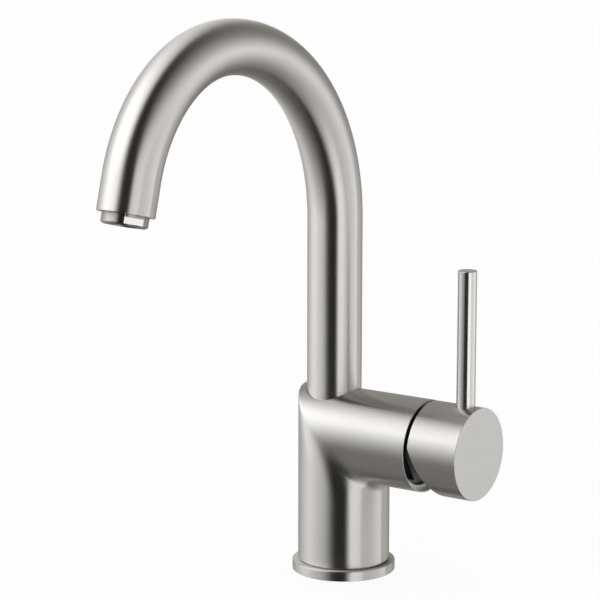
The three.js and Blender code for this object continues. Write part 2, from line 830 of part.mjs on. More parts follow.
function stemPivotPin() {
  return pivotHole(pivotPinRadius, rotorHubRadius - pivotPinEnd);
}

function cartridgeStem() {
  const squareBottom = stemPivotX - stemBehindPivot;
  const square = block(
    2 * stemHalf, 2 * stemHalf, stemEndX - squareBottom,
    0, 0, (stemEndX + squareBottom) / 2,
  );
  const neck = rod(stemNeckRadius, [0, 0, ballX], squareBottom - ballX + cutPast, 'up');
  const sphere = new THREE.SphereGeometry(stemBallRadius, roundSmall, roundSmall / 2);
  const ball = solid(sphere.translate(0, 0, ballX));
  return cut(joined(square, neck, ball), pivotHole(pivotPinRadius + runGap, 2 * stemHalf));
}

const cartridge = new THREE.Group();
cartridge.position.z = barrelAxisZ;
cartridge.rotation.y = Math.PI / 2;
cartridge.add(
  piece('cartridge_base', cartridgeBase(), greyNylon),
  piece('port_seal_hot', portSeal(ports.hot), blackRubber),
  piece('port_seal_cold', portSeal(ports.cold), blackRubber),
  piece('port_seal_outlet', portSeal(ports.outlet), blackRubber),
  piece('disc_seal', discSeal(), blackRubber),
  piece('fixed_ceramic_disc', fixedDisc(), ceramic),
  piece('moving_ceramic_disc', movingDisc(), ceramic),
  piece('disc_carrier', discCarrier(), whiteAcetal),
  piece('cartridge_housing', cartridgeHousing(), greyNylon),
  piece('cartridge_nut', cartridgeNut(), polishedSteel),
  piece('cartridge_rotor', cartridgeRotor(), whiteAcetal),
  piece('stem_pivot_pin', stemPivotPin(), polishedSteel),
  piece('cartridge_stem', cartridgeStem(), polishedSteel),
);

// ---- Handle: its group shares the cartridge's place and directions ---------------------

const rimX = barrelMouthX + rimGap;
const capRadius = bodyRadius - capInset;
const pinX = capFaceX - pinInset;
const setScrewX = bossX + setScrewInset;

// Everything behind the leaning lower rim of the cap, except the boss that sits on the stem.
function behindLean() {
  const size = 4 * capRadius;
  const slab = new THREE.BoxGeometry(size, size, size).translate(0, 0, -size / 2);
  slab.rotateY(-rimLean).translate(-rimBreakRise, 0, rimX);
  return cut(solid(slab), disc(bossRadius + runGap, rimX, capFaceX));
}

function handleCap() {
  const inside = capRadius - capWall;
  const drum = turned([
    [0, rimX],
    [capRadius, rimX],
    [capRadius, capFaceX - edgeBreak],
    [capRadius - edgeBreak, capFaceX],
    [0, capFaceX],
  ], roundFine);
  const cavity = ring(bossRadius, inside, rimX - cutPast, capCavityX, roundFine);
  const behindBoss = disc(inside, rimX - cutPast, bossX, roundFine);
  const socketHalf = stemHalf + fitGap;
  const socketDepth = stemEndX + fitGap - bossX;
  return cut(
    drum,
    cavity,
    behindBoss,
    behindLean(),
    block(2 * socketHalf, 2 * socketHalf, socketDepth + cutPast, 0, 0, bossX + (socketDepth - cutPast) / 2),
    rod(pinRadius + fitGap, [-pinSeatRise, 0, pinX], capRadius, 'left', roundSmall),
    rod(pinStudRadius + fitGap, [-(pinSeatRise - pinStudLength - fitGap), 0, pinX], capRadius, 'left'),
    rod(retainScrewRadius + fitGap, [0, 0, setScrewX], bossRadius + cutPast, 'right'),
  );
}

// The lever pin with its threaded stud; its own axis is Z, from the barrel's axis outwards.
function leverPin() {
  const top = pinTopZ - barrelAxisZ;
  const seat = pinSeatRise + fitGap;
  return turned([
    [0, seat - pinStudLength],
    [pinStudRadius, seat - pinStudLength],
    [pinStudRadius, seat],
    [pinRadius, seat],
    [pinRadius, top - edgeBreak],
    [pinRadius - edgeBreak, top],
    [0, top],
  ], roundMedium);
}

const handle = new THREE.Group();
handle.position.z = barrelAxisZ;
handle.rotation.y = Math.PI / 2;
handle.add(piece('handle_cap', handleCap(), brushedNickel));

const lever = piece('lever_pin', leverPin(), polishedSteel);
lever.position.z = pinX;
lever.rotation.y = -Math.PI / 2;
handle.add(lever);

const setScrew = piece('handle_set_screw', socketScrew(setScrewLength), polishedSteel);
setScrew.position.set(stemHalf + fitGap, 0, setScrewX);
setScrew.rotation.y = Math.PI / 2;
handle.add(setScrew);

// ---- The whole faucet -------------------------------------------------------------------

const group = new THREE.Group();
group.add(foot, spout, cartridge, handle);

export default group;
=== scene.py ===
"""Looks of a gooseneck bar faucet in brushed nickel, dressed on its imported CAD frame.

Lengths are in metres, and sizes are written in millimetres times MM. +Z is up from the deck,
the handle points along +X and the spout reaches along -Y.
"""

import logging
import math
from collections.abc import Callable, Iterable, Sequence
from dataclasses import dataclass, replace
from enum import Enum
from itertools import pairwise

import bmesh
import bpy
from bmesh.types import BMEdge, BMesh, BMFace, BMVert
from bpy.types import Material, Node, NodeSocket, NodeTree, Object
from mathutils import Matrix, Vector


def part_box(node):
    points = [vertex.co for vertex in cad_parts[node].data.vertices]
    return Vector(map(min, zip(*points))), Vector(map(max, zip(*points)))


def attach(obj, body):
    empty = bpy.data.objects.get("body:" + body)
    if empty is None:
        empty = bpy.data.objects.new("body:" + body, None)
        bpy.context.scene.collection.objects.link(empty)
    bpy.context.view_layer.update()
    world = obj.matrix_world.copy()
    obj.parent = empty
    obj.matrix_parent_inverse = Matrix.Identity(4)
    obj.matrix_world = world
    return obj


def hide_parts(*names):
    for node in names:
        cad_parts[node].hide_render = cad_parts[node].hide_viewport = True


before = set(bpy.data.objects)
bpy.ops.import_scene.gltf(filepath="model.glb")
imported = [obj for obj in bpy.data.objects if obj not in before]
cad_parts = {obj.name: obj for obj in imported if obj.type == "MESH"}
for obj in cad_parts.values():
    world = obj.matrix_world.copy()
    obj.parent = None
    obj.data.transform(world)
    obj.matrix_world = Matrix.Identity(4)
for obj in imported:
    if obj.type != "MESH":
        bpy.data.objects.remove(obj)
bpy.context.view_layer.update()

LOG = logging.getLogger("bar_faucet")

MM = 0.001
ROUND = 160  # facets round a turned piece that shows
SMALL_ROUND = 64  # facets round a small turned piece
SHARP = math.radians(28)  # edges that turn more than this stay sharp or get a bevel
LEVEL = 0.9  # a face whose normal has more than this along Z is a flat end
FACING = 0.99  # a face whose normal has more than this along a direction faces it
MERGED = 0.0001 * MM  # corners nearer than this are one
TOUCHING = 0.01 * MM  # an edge nearer than this to a surface lies on it
CUT_PAST = 1 * MM  # how far a cutter runs past the face that it opens
GRAIN = "grain"  # name of the UV map that the brushing follows, in metres
QUARTER_TURN = 0.25  # turns the highlight from along the scratches to across them

Locator = Callable[[Vector], tuple[float, float]]  # gives a point's place round and along a piece
Direction = Callable[[NodeTree], Node]  # adds the nodes that give a direction on a piece


# ---- Shaping ---------------------------------------------------------------------------


def turned(profile: Sequence[tuple[float, float]], facets: int = ROUND) -> BMesh:
    """Spins a profile about Z into a closed solid.

    Args:
        profile: (radius, height) corners; the profile closes on itself or ends on the axis.
        facets: facets round the axis.

    Returns:
        The solid, with its faces out.
    """
    bm = bmesh.new()
    corners = [bm.verts.new((radius, 0.0, height)) for radius, height in profile]
    edges = [bm.edges.new(pair) for pair in pairwise(corners)]
    if profile[0][0] > 0:
        edges.append(bm.edges.new((corners[-1], corners[0])))
    bmesh.ops.spin(
        bm, geom=corners + edges, axis=(0, 0, 1), angle=math.tau, steps=facets, use_merge=True
    )
    bmesh.ops.remove_doubles(bm, verts=bm.verts, dist=MERGED)
    bmesh.ops.recalc_face_normals(bm, faces=bm.faces)
    return bm


def stack(
    bottom: float, *steps: tuple[float, float], bore: float = 0, facets: int = SMALL_ROUND
) -> BMesh:
    """Turns a stepped solid about Z.

    Args:
        bottom: height of the first face.
        *steps: radius of each step and the height where it ends, which may lie lower.
        bore: radius of the hole through it.
        facets: facets round the axis.

    Returns:
        The solid.
    """
    profile = [(bore, bottom)]
    for radius, end in steps:
        profile += [(radius, profile[-1][1]), (radius, end)]
    return turned([*profile, (bore, profile[-1][1])], facets)


def add_bar(bm: BMesh, sides: int, radius: float, length: float, matrix: Matrix) -> None:
    """Adds a bar that lies along the matrix's Z, with its middle at the origin."""
    bmesh.ops.create_cone(
        bm, cap_ends=True, segments=sides, radius1=radius, radius2=radius, depth=length,
        matrix=matrix,
    )


def block(size: tuple[float, float, float], centre: tuple[float, float, float]) -> BMesh:
    """Makes a box.

    Args:
        size: its width along each axis.
        centre: its middle.

    Returns:
        The box.
    """
    bm = bmesh.new()
    matrix = Matrix.Translation(centre) @ Matrix.Diagonal((*size, 1))
    bmesh.ops.create_cube(bm, size=1, matrix=matrix)
    return bm


def placed(bm: BMesh, matrix: Matrix) -> BMesh:
    """Returns the same mesh, moved by the matrix."""
    bmesh.ops.transform(bm, matrix=matrix, verts=bm.verts)
    return bm


def soften(bm: BMesh, width: float, beyond: float = 0, segments: int = 3) -> None:
    """Rounds the sharp edges with a small bevel.

    Args:
        bm: mesh to change.
        width: width of the bevel on each face.
        beyond: edges nearer to Z than this stay sharp.
        segments: steps across the bevel.
    """
    edges = [
        e for e in bm.edges
        if len(e.link_faces) == 2
        and e.calc_face_angle(0) > SHARP
        and all(v.co.xy.length > beyond - TOUCHING for v in e.verts)
    ]
    bmesh.ops.bevel(
        bm, geom=edges, offset=width, affect="EDGES", segments=segments, profile=0.5,
        material=-1, clamp_overlap=True,
    )


def carve(bm: BMesh, cutters: Iterable[BMesh]) -> BMesh:
    """Cuts solids out of a solid.

    Args:
        bm: solid to cut; it is used up.
        cutters: solids to take away; they are used up.

    Returns:
        What is left.
    """
    body = as_object("carved", bm)
    tools = [as_object("cutter", cutter) for cutter in cutters]
    for tool in tools:
        cut = body.modifiers.new("cut", "BOOLEAN")
        cut.operation = "DIFFERENCE"
        cut.solver = "EXACT"
        cut.object = tool
    result = bmesh.new()
    result.from_object(body, bpy.context.evaluated_depsgraph_get())
    for used in [body, *tools]:
        mesh = used.data
        bpy.data.objects.remove(used)
        bpy.data.meshes.remove(mesh)
    return result


def as_object(name: str, bm: BMesh) -> Object:
    """Turns a bmesh into an object in the scene.

    Args:
        name: name of the object and of its mesh.
        bm: its shape; it is used up.

    Returns:
        The object.
    """
    mesh = bpy.data.meshes.new(name)
    bm.to_mesh(mesh)
    bm.free()
    made = bpy.data.objects.new(name, mesh)
    bpy.context.scene.collection.objects.link(made)
    return made


def lay_grain(bm: BMesh, locator_of: Callable[[BMFace], Locator], period: float) -> None:
    """Writes the UV map that the brushing follows: U along the scratches, V across them.

    Args:
        bm: mesh that gets the map.
        locator_of: gives each face the function that finds a point's place round and along the
            piece, in metres.
        period: distance once round, where U starts again.
    """
    layer = bm.loops.layers.uv.get(GRAIN) or bm.loops.layers.uv.new(GRAIN)
    for face in bm.faces:
        locate = locator_of(face)
        middle = locate(face.calc_center_median())[0]
        for loop in face.loops:
            around, along = locate(loop.vert.co)
            around -= period * round((around - middle) / period)
            loop[layer].uv = (around, along)


def lay_turned_grain(bm: BMesh, radius: float) -> None:
    """Lays the grain round Z, with straight brushing on the flat ends.

    Args:
        bm: mesh that gets the map.
        radius: the piece's radius, which turns an angle into a distance.
    """

    def straight(point: Vector) -> tuple[float, float]:
        """Place of a point on a flat end."""
        return point.x, point.y

    def turning(point: Vector) -> tuple[float, float]:
        """Place of a point round and along the axis."""
        return math.atan2(point.y, point.x) * radius, point.z

    lay_grain(bm, lambda f: straight if abs(f.normal.z) > LEVEL else turning, math.tau * radius)


def barrel_frame(height: float) -> Matrix:
    """Returns the frame on the barrel's axis at this height: Z along the barrel and -X up."""
    return Matrix.Translation((0, 0, height)) @ Matrix.Rotation(math.pi / 2, 4, "Y")


def show(
    name: str, bm: BMesh, material: Material, body: str, nodes: Sequence[str]
) -> Object:
    """Makes a finished piece that stands for CAD nodes.

    Args:
        name: the piece's name.
        bm: its mesh in the row frame; it is used up.
        material: its finish.
        body: the CAD body that it rides on.
        nodes: the CAD nodes that it stands for.

    Returns:
        The piece.
    """
    made = as_object(name, bm)
    made.data.materials.append(material)
    made.data.shade_smooth()
    made.data.set_sharp_from_angle(angle=SHARP)
    weighted = made.modifiers.new("weighted_normals", "WEIGHTED_NORMAL")
    weighted.keep_sharp = True
    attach(made, body)
    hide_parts(*nodes)
    LOG.info("%s: %d faces on body %s", name, len(made.data.polygons), body)
    return made


# ---- Materials -------------------------------------------------------------------------


def linear(code: str) -> tuple[float, float, float, float]:
    """Turns an sRGB hex colour such as "c8c4bc" into linear RGBA."""
    channels = [int(code[i : i + 2], 16) / 255 for i in (0, 2, 4)]
    return (*(c / 12.92 if c <= 0.04045 else ((c + 0.055) / 1.055) ** 2.4 for c in channels), 1.0)


def add_node(tree: NodeTree, kind: str, inputs: dict | None = None, **settings: object) -> Node:
    """Adds a node with its settings and links.

    Args:
        tree: tree that gets the node.
        kind: Blender's name of the node type.
        inputs: sockets by name or number, each with a value, or with what feeds it: a socket, or
            a node, of which the first output is taken.
        **settings: properties of the node.

    Returns:
        The new node.
    """
    node = tree.nodes.new(kind)
    for name, value in settings.items():
        setattr(node, name, value)
    for name, value in (inputs or {}).items():
        if isinstance(value, Node):
            value = next(out for out in value.outputs if not out.is_unavailable)
        if isinstance(value, NodeSocket):
            tree.links.new(value, node.inputs[name])
        else:
            node.inputs[name].default_value = value
    return node


def empty_material(name: str) -> tuple[Material, NodeTree]:
    """Makes a material without nodes.

    Args:
        name: the material's name.

    Returns:
        The material and its empty node tree.
    """
    material = bpy.data.materials.new(name)
    material.use_nodes = True
    material.node_tree.nodes.clear()
    return material, material.node_tree


def along_grain(tree: NodeTree) -> Node:
    """Adds the direction of the scratches, along U of the grain map."""
    return add_node(tree, "ShaderNodeTangent", direction_type="UV_MAP", uv_map=GRAIN)


@dataclass(frozen=True)
class BrushedMetal:
    """Metal rubbed with a fine abrasive belt, so that light spreads across the scratches."""

    name: str
    colour: str
    dull_colour: str
    roughness: float
    unevenness: float
    anisotropy: float
    scratch_width: float
    scratch_length: float
    depth: float
    cloud: float = 30 * MM
    faintest: float = 0.3
    strongest: float = 0.7

    def material(self, run_of_scratches: Direction = along_grain) -> Material:
        """Builds the material; it reads the grain map of its piece.

        Args:
            run_of_scratches: adds the nodes that give the direction of the scratches.

        Returns:
            The material.
        """
        material, tree = empty_material(self.name)
        scratches = self.scratches(tree)
        relief = {"Height": scratches, "Distance": self.depth}
        inputs = {
            "Base Color": self.tone(tree),
            "Metallic": 1.0,
            "Roughness": self.gloss(tree, scratches),
            "Anisotropic": self.anisotropy,
            "Anisotropic Rotation": QUARTER_TURN,
            "Tangent": run_of_scratches(tree),
            "Normal": add_node(tree, "ShaderNodeBump", relief),
        }
        metal = add_node(tree, "ShaderNodeBsdfPrincipled", inputs)
        add_node(tree, "ShaderNodeOutputMaterial", {"Surface": metal})
        return material

    def scratches(self, tree: NodeTree) -> Node:
        """Adds a pattern of long thin scratches.

        Args:
            tree: the material's nodes.

        Returns:
            The pattern.
        """
        grain = add_node(tree, "ShaderNodeUVMap", uv_map=GRAIN)
        stretch = (1 / self.scratch_length, 1 / self.scratch_width, 1)
        run = add_node(tree, "ShaderNodeMapping", {"Vector": grain, "Scale": stretch})
        inputs = {"Vector": run, "Scale": 1.0, "Detail": 3.0, "Roughness": 0.6}
        return add_node(tree, "ShaderNodeTexNoise", inputs)

    def tone(self, tree: NodeTree) -> Node:
        """Adds the metal's colour, in faint clouds of two tones.

        Args:
            tree: the material's nodes.

        Returns:
            The colour.
        """
        place = add_node(tree, "ShaderNodeTexCoord").outputs["Object"]
        spread = {"Vector": place, "Scale": 1 / self.cloud, "Detail": 2.0}
        clouds = add_node(tree, "ShaderNodeTexNoise", spread)
        inputs = {"Factor": clouds, "A": linear(self.colour), "B": linear(self.dull_colour)}
        return add_node(tree, "ShaderNodeMix", inputs, data_type="RGBA")

    def gloss(self, tree: NodeTree, scratches: Node) -> Node:
        """Adds the roughness, a little uneven from scratch to scratch.

        Args:
            tree: the material's nodes.
            scratches: their pattern.

        Returns:
            The roughness.
        """
        inputs = {
            "Value": scratches,
            "From Min": self.faintest,
            "From Max": self.strongest,
            "To Min": self.roughness * (1 - self.unevenness),
            "To Max": self.roughness * (1 + self.unevenness),
        }
        return add_node(tree, "ShaderNodeMapRange", inputs)


@dataclass(frozen=True)
class PlainFinish:
    """A moulded, pressed or machined finish with a fine even grain in object space."""

    name: str
    colour: str
    second_colour: str
    roughness: float
    metallic: float
    grain: float
    depth: float
    ior: float = 1.5
    unevenness: float = 0.15

    def material(self) -> Material:
        """Builds the material on Object coordinates.

        Returns:
            The material.
        """
        material, tree = empty_material(self.name)
        place = add_node(tree, "ShaderNodeTexCoord").outputs["Object"]
        spread = {"Vector": place, "Scale": 1 / self.grain, "Detail": 3.0}
        grain = add_node(tree, "ShaderNodeTexNoise", spread)
        colours = {"Factor": grain, "A": linear(self.colour), "B": linear(self.second_colour)}
        gloss = {
            "Value": grain,
            "To Min": self.roughness * (1 - self.unevenness),
            "To Max": self.roughness * (1 + self.unevenness),
        }
        relief = {"Height": grain, "Distance": self.depth}
        inputs = {
            "Base Color": add_node(tree, "ShaderNodeMix", colours, data_type="RGBA"),
            "Metallic": self.metallic,
            "Roughness": add_node(tree, "ShaderNodeMapRange", gloss),
            "IOR": self.ior,
            "Normal": add_node(tree, "ShaderNodeBump", relief),
        }
        shader = add_node(tree, "ShaderNodeBsdfPrincipled", inputs)
        add_node(tree, "ShaderNodeOutputMaterial", {"Surface": shader})
        return material


# Satin nickel plate on brass, rubbed with a fine belt: a warm light grey whose highlights
# spread across the scratches and stay crisp along them. Real scratches are 0.05 mm apart,
# too fine to show, so they are drawn 0.35 mm wide.
SATIN_NICKEL = BrushedMetal(
    name="satin_nickel",
    colour="cfcdca",
    dull_colour="cac8c4",
    roughness=0.333,
    unevenness=0.06,
    anisotropy=1.0,
    scratch_width=0.35 * MM,
    scratch_length=20 * MM,
    depth=0.0002 * MM,
)

# The same nickel on the body, where its scratches turn gently at the mitre.
MITRED_NICKEL = replace(SATIN_NICKEL, name="satin_nickel_mitred")

# The same nickel on the drawn tube, painted a little lighter: a painted highlight for the brighter
# light that the tube catches.
TUBE_NICKEL_PAINTED_LIGHTER = replace(
    SATIN_NICKEL, name="satin_nickel_tube_painted_highlight", colour="d8d6d3", dull_colour="d3d1cd"
)

# The same nickel on the pin, rubbed with a finer belt: sharper and brighter reflections.
FINE_NICKEL = replace(
    SATIN_NICKEL,
    name="fine_satin_nickel",
    colour="d4d2cf",
    dull_colour="cfcdca",
    roughness=0.22,
    anisotropy=0.9,
    scratch_width=0.3 * MM,
    scratch_length=10 * MM,
)

# The same nickel on the outlet ring, painted darker as painted shade, with a more uneven gloss and
# tone.
SHADED_RING_NICKEL = replace(
    SATIN_NICKEL, name="satin_nickel_painted_shade", colour="bbb9b5", dull_colour="a9a6a1", unevenness=0.15
)

# Bright nickel on the ring's wrench flats and on the screen: polished nearly to a mirror, and
# painted lighter than nickel, a painted highlight on the flats.
BRIGHT_NICKEL = BrushedMetal(
    name="bright_nickel",
    colour="ecebe8",
    dull_colour="e6e4e0",
    roughness=0.14,
    unevenness=0.1,
    anisotropy=0.2,
    scratch_width=0.5 * MM,
    scratch_length=10 * MM,
    depth=0.001 * MM,
)


class Finish(Enum):
    """The finishes of the pieces that keep their CAD mesh."""

    # Stainless steel, ground and polished: cool grey and glossy.
    STEEL = PlainFinish(
        "polished_steel_pin", "bfc0c1", "b4b5b6",
        roughness=0.22, metallic=1.0, grain=0.6 * MM, depth=0.001 * MM,
    )
    # The same steel as turned, not polished, with a wide soft gloss, and painted dark: painted shade
    # in the gap between the barrel and the handle.
    SHADED_TURNED_STEEL = PlainFinish(
        "turned_steel_painted_shade", "6c6d6f", "626365",
        roughness=0.5, metallic=1.0, grain=0.6 * MM, depth=0.002 * MM,
    )
    # Turned brass, left bare inside: warm yellow with a soft gloss.
    BRASS = PlainFinish(
        "turned_brass", "c9a765", "b8955a",
        roughness=0.34, metallic=1.0, grain=0.8 * MM, depth=0.004 * MM,
    )
    # EPDM rubber seal: almost black and matt.
    RUBBER = PlainFinish(
        "epdm_rubber", "1b1b1b", "242423",
        roughness=0.75, metallic=0.0, grain=0.7 * MM, depth=0.01 * MM, ior=1.52,
    )
    # White acetal (POM), moulded: creamy and slightly waxy.
    ACETAL = PlainFinish(
        "moulded_acetal", "e6e3da", "dfdbd0",
        roughness=0.42, metallic=0.0, grain=1.2 * MM, depth=0.004 * MM, ior=1.48,
    )
    # Glass-filled nylon, moulded: mid grey with a dry sheen.
    NYLON = PlainFinish(
        "glass_filled_nylon", "6d7073", "5f6265",
        roughness=0.55, metallic=0.0, grain=0.9 * MM, depth=0.01 * MM, ior=1.53,
    )
    # Lapped alumina ceramic: white, hard and glossy.
    CERAMIC = PlainFinish(
        "lapped_alumina", "f1efe9", "ebe8e0",
        roughness=0.12, metallic=0.0, grain=1.0 * MM, depth=0.001 * MM, ior=1.77,
    )

    def dress(self, *nodes: str) -> None:
        """Gives this finish to CAD nodes.

        Args:
            *nodes: names of the CAD nodes.
        """
        material = self.value.material()
        for name in nodes:
            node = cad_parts[name]
            node.data.materials.clear()
            node.data.materials.append(material)
            LOG.info("%s keeps its CAD mesh, in %s", name, material.name)


# ---- Body ------------------------------------------------------------------------------


@dataclass
class Body:
    """Column and side barrel of one diameter, mitred together, on the foot's flange."""

    radius: float = 23.5 * MM
    bottom: float = 5.7 * MM
    barrel_height: float = 71.8 * MM
    mouth: float = 50.7 * MM
    mitre_outer_round: float = 0.5 * MM
    mitre_inner_round: float = 4.5 * MM
    mitre_steps: int = 12
    grain_turn: float = 24 * MM
    edge: float = 0.4 * MM
    mouth_edge: float = 0.15 * MM
    foot_bore: float = 20 * MM
    foot_top: float = 46 * MM
    spout_x: float = -6.25 * MM
    spout_bore: float = 14.3 * MM
    spout_floor: float = 59 * MM
    cartridge_bore: float = 17.8 * MM
    cartridge_floor: float = 18 * MM
    nut_bore: float = 20.3 * MM
    nut_floor: float = 40 * MM
    mouth_bore: float = 22.9 * MM
    mouth_depth: float = 3 * MM
    screw_height: float = 62.6 * MM
    screw_hole: float = 2.8 * MM
    flange_radius: float = 26.4 * MM
    flange_height: float = 5.1 * MM
    flange_bore: float = 18.5 * MM
    land: float = 0.3 * MM
    land_inset: float = 1.6 * MM
    spigot: float = 3.5 * MM
    spigot_radius: float = 19.7 * MM
    groove_inner: float = 20.3 * MM
    groove_outer: float = 23.9 * MM
    groove_depth: float = 1.6 * MM

    def build(self) -> None:
        """Builds and dresses everything that stays still."""
        mitred = MITRED_NICKEL.material(self.turning_scratches)
        nickel = SATIN_NICKEL.material()
        show("satin_body", self.shell(), mitred, "body", ["body_shell"])
        show("satin_flange", self.flange(), nickel, "body", ["base_flange"])
        Finish.RUBBER.dress("base_gasket")

    def elbow(self) -> BMesh:
        """Column and barrel as one closed solid.

        Each straight line of the surface climbs the column, turns a small round corner at the
        mitre and runs out along the barrel, so a cylinder cut into rings is moved ring by ring.

        Returns:
            The solid elbow.
        """
        corner = [math.pi / 2 * k / self.mitre_steps for k in range(self.mitre_steps + 1)]
        rings = len(corner) + 4
        bm = bmesh.new()
        add_bar(bm, ROUND, 1, 1, Matrix.Translation((0, 0, 0.5)))
        upright = [e for e in bm.edges if round(e.verts[0].co.z) != round(e.verts[1].co.z)]
        bmesh.ops.subdivide_edges(bm, edges=upright, cuts=rings - 2, use_grid_fill=True)
        for vert in bm.verts:
            level = round(vert.co.z * (rings - 1))
            vert.co = self.elbow_point(level, vert.co.x, vert.co.y, corner)
        bmesh.ops.recalc_face_normals(bm, faces=bm.faces)
        return bm

    def elbow_point(self, level: int, cosine: float, sine: float, corner: list[float]) -> Vector:
        """Place of one point of the elbow.

        Args:
            level: ring number, from the column's foot to the barrel's mouth.
            cosine: X of the surface line on the unit circle.
            sine: Y of the surface line on the unit circle.
            corner: turned angles of the rings at the mitre.

        Returns:
            The point in the row frame.
        """
        last = len(corner) + 3
        radius = self.radius - {0: self.edge, last: self.mouth_edge}.get(level, 0)
        x, y = cosine * radius, sine * radius
        mitre = self.barrel_height - x
        if level < 2:
            return Vector((x, y, self.bottom + level * self.edge))
        if level > last - 2:
            return Vector((self.mouth - (last - level) * self.mouth_edge, y, mitre))
        angle = corner[level - 2]
        inwards = (x + self.radius) / (2 * self.radius)
        rounding = self.mitre_outer_round * (1 - inwards) + self.mitre_inner_round * inwards
        out, down = rounding * (1 - math.cos(angle)), rounding * (1 - math.sin(angle))
        return Vector((x + out, y, mitre - down))

    def shell(self) -> BMesh:
        """The elbow with its bores and its grain.

        Returns:
            The body in the row frame.
        """
        barrel_bore = stack(
            self.cartridge_floor,
            (self.cartridge_bore, self.nut_floor),
            (self.nut_bore, self.mouth - self.mouth_depth),
            (self.mouth_bore, self.mouth + CUT_PAST),
            facets=ROUND,
        )
        foot_bore = stack(self.bottom - CUT_PAST, (self.foot_bore, self.foot_top), facets=ROUND)
        above = self.barrel_height + self.radius + CUT_PAST
        spout_bore = stack(self.spout_floor, (self.spout_bore, above), facets=ROUND)
        screw_hole = stack(0, (self.screw_hole, self.radius + CUT_PAST))
        over = Matrix.Translation((self.spout_x, 0, 0))
        behind = Matrix.Translation((self.spout_x, 0, self.screw_height))
        bm = carve(self.elbow(), [
            placed(barrel_bore, barrel_frame(self.barrel_height)),
            foot_bore,
            placed(spout_bore, over),
            placed(screw_hole, behind @ Matrix.Rotation(-math.pi / 2, 4, "X")),
        ])
        lay_grain(bm, self.locator_of, math.tau * self.radius)
        return bm

    def locator_of(self, face: BMFace) -> Locator:
        """Chooses the column's grain below the mitre and the barrel's beyond it."""
        middle = face.calc_center_median()
        return self.on_barrel if middle.x + middle.z > self.barrel_height else self.on_column

    def turning_scratches(self, tree: NodeTree) -> Node:
        """Works out the direction of the scratches from the place on the body.

        Args:
            tree: the material's nodes.

        Returns:
            A direction round the column below the mitre and round the barrel beyond it.
        """
        place = add_node(tree, "ShaderNodeTexCoord").outputs["Object"]
        split = add_node(tree, "ShaderNodeSeparateXYZ", {"Vector": place})
        x, y, z = (split.outputs[axis] for axis in "XYZ")
        front = add_node(tree, "ShaderNodeMath", {0: y, 1: -1.0}, operation="MULTIPLY")
        drop = add_node(tree, "ShaderNodeMath", {0: self.barrel_height, 1: z}, operation="SUBTRACT")
        past_mitre = add_node(tree, "ShaderNodeMath", {0: x, 1: drop}, operation="SUBTRACT")
        span = {"Value": past_mitre, "From Min": -self.grain_turn, "From Max": self.grain_turn}
        share = add_node(tree, "ShaderNodeMapRange", span, interpolation_type="SMOOTHSTEP")
        round_column = add_node(tree, "ShaderNodeCombineXYZ", {"X": front, "Y": x})
        round_barrel = add_node(tree, "ShaderNodeCombineXYZ", {"Y": drop, "Z": y})
        inputs = {"Factor": share, "A": round_column, "B": round_barrel}
        return add_node(tree, "ShaderNodeMix", inputs, data_type="VECTOR")

    def on_column(self, point: Vector) -> tuple[float, float]:
        """Place of a point round and along the column."""
        return math.atan2(point.y, point.x) * self.radius, point.z

    def on_barrel(self, point: Vector) -> tuple[float, float]:
        """Place of a point round and along the barrel."""
        return math.atan2(point.y, point.z - self.barrel_height) * self.radius, point.x

    def flange(self) -> BMesh:
        """The ring at the foot, with its land, spigot and gasket groove.

        Returns:
            The flange in the row frame.
        """
        land_top = self.flange_height + self.land
        bm = stack(
            0,
            (self.groove_inner, self.groove_depth),
            (self.groove_outer, 0),
            (self.flange_radius, self.flange_height),
            (self.radius - self.land_inset, land_top),
            (self.spigot_radius, land_top + self.spigot),
            bore=self.flange_bore,
            facets=ROUND,
        )
        soften(bm, self.edge, beyond=self.flange_radius)
        lay_turned_grain(bm, self.flange_radius)
        return bm


# ---- Spout -----------------------------------------------------------------------------


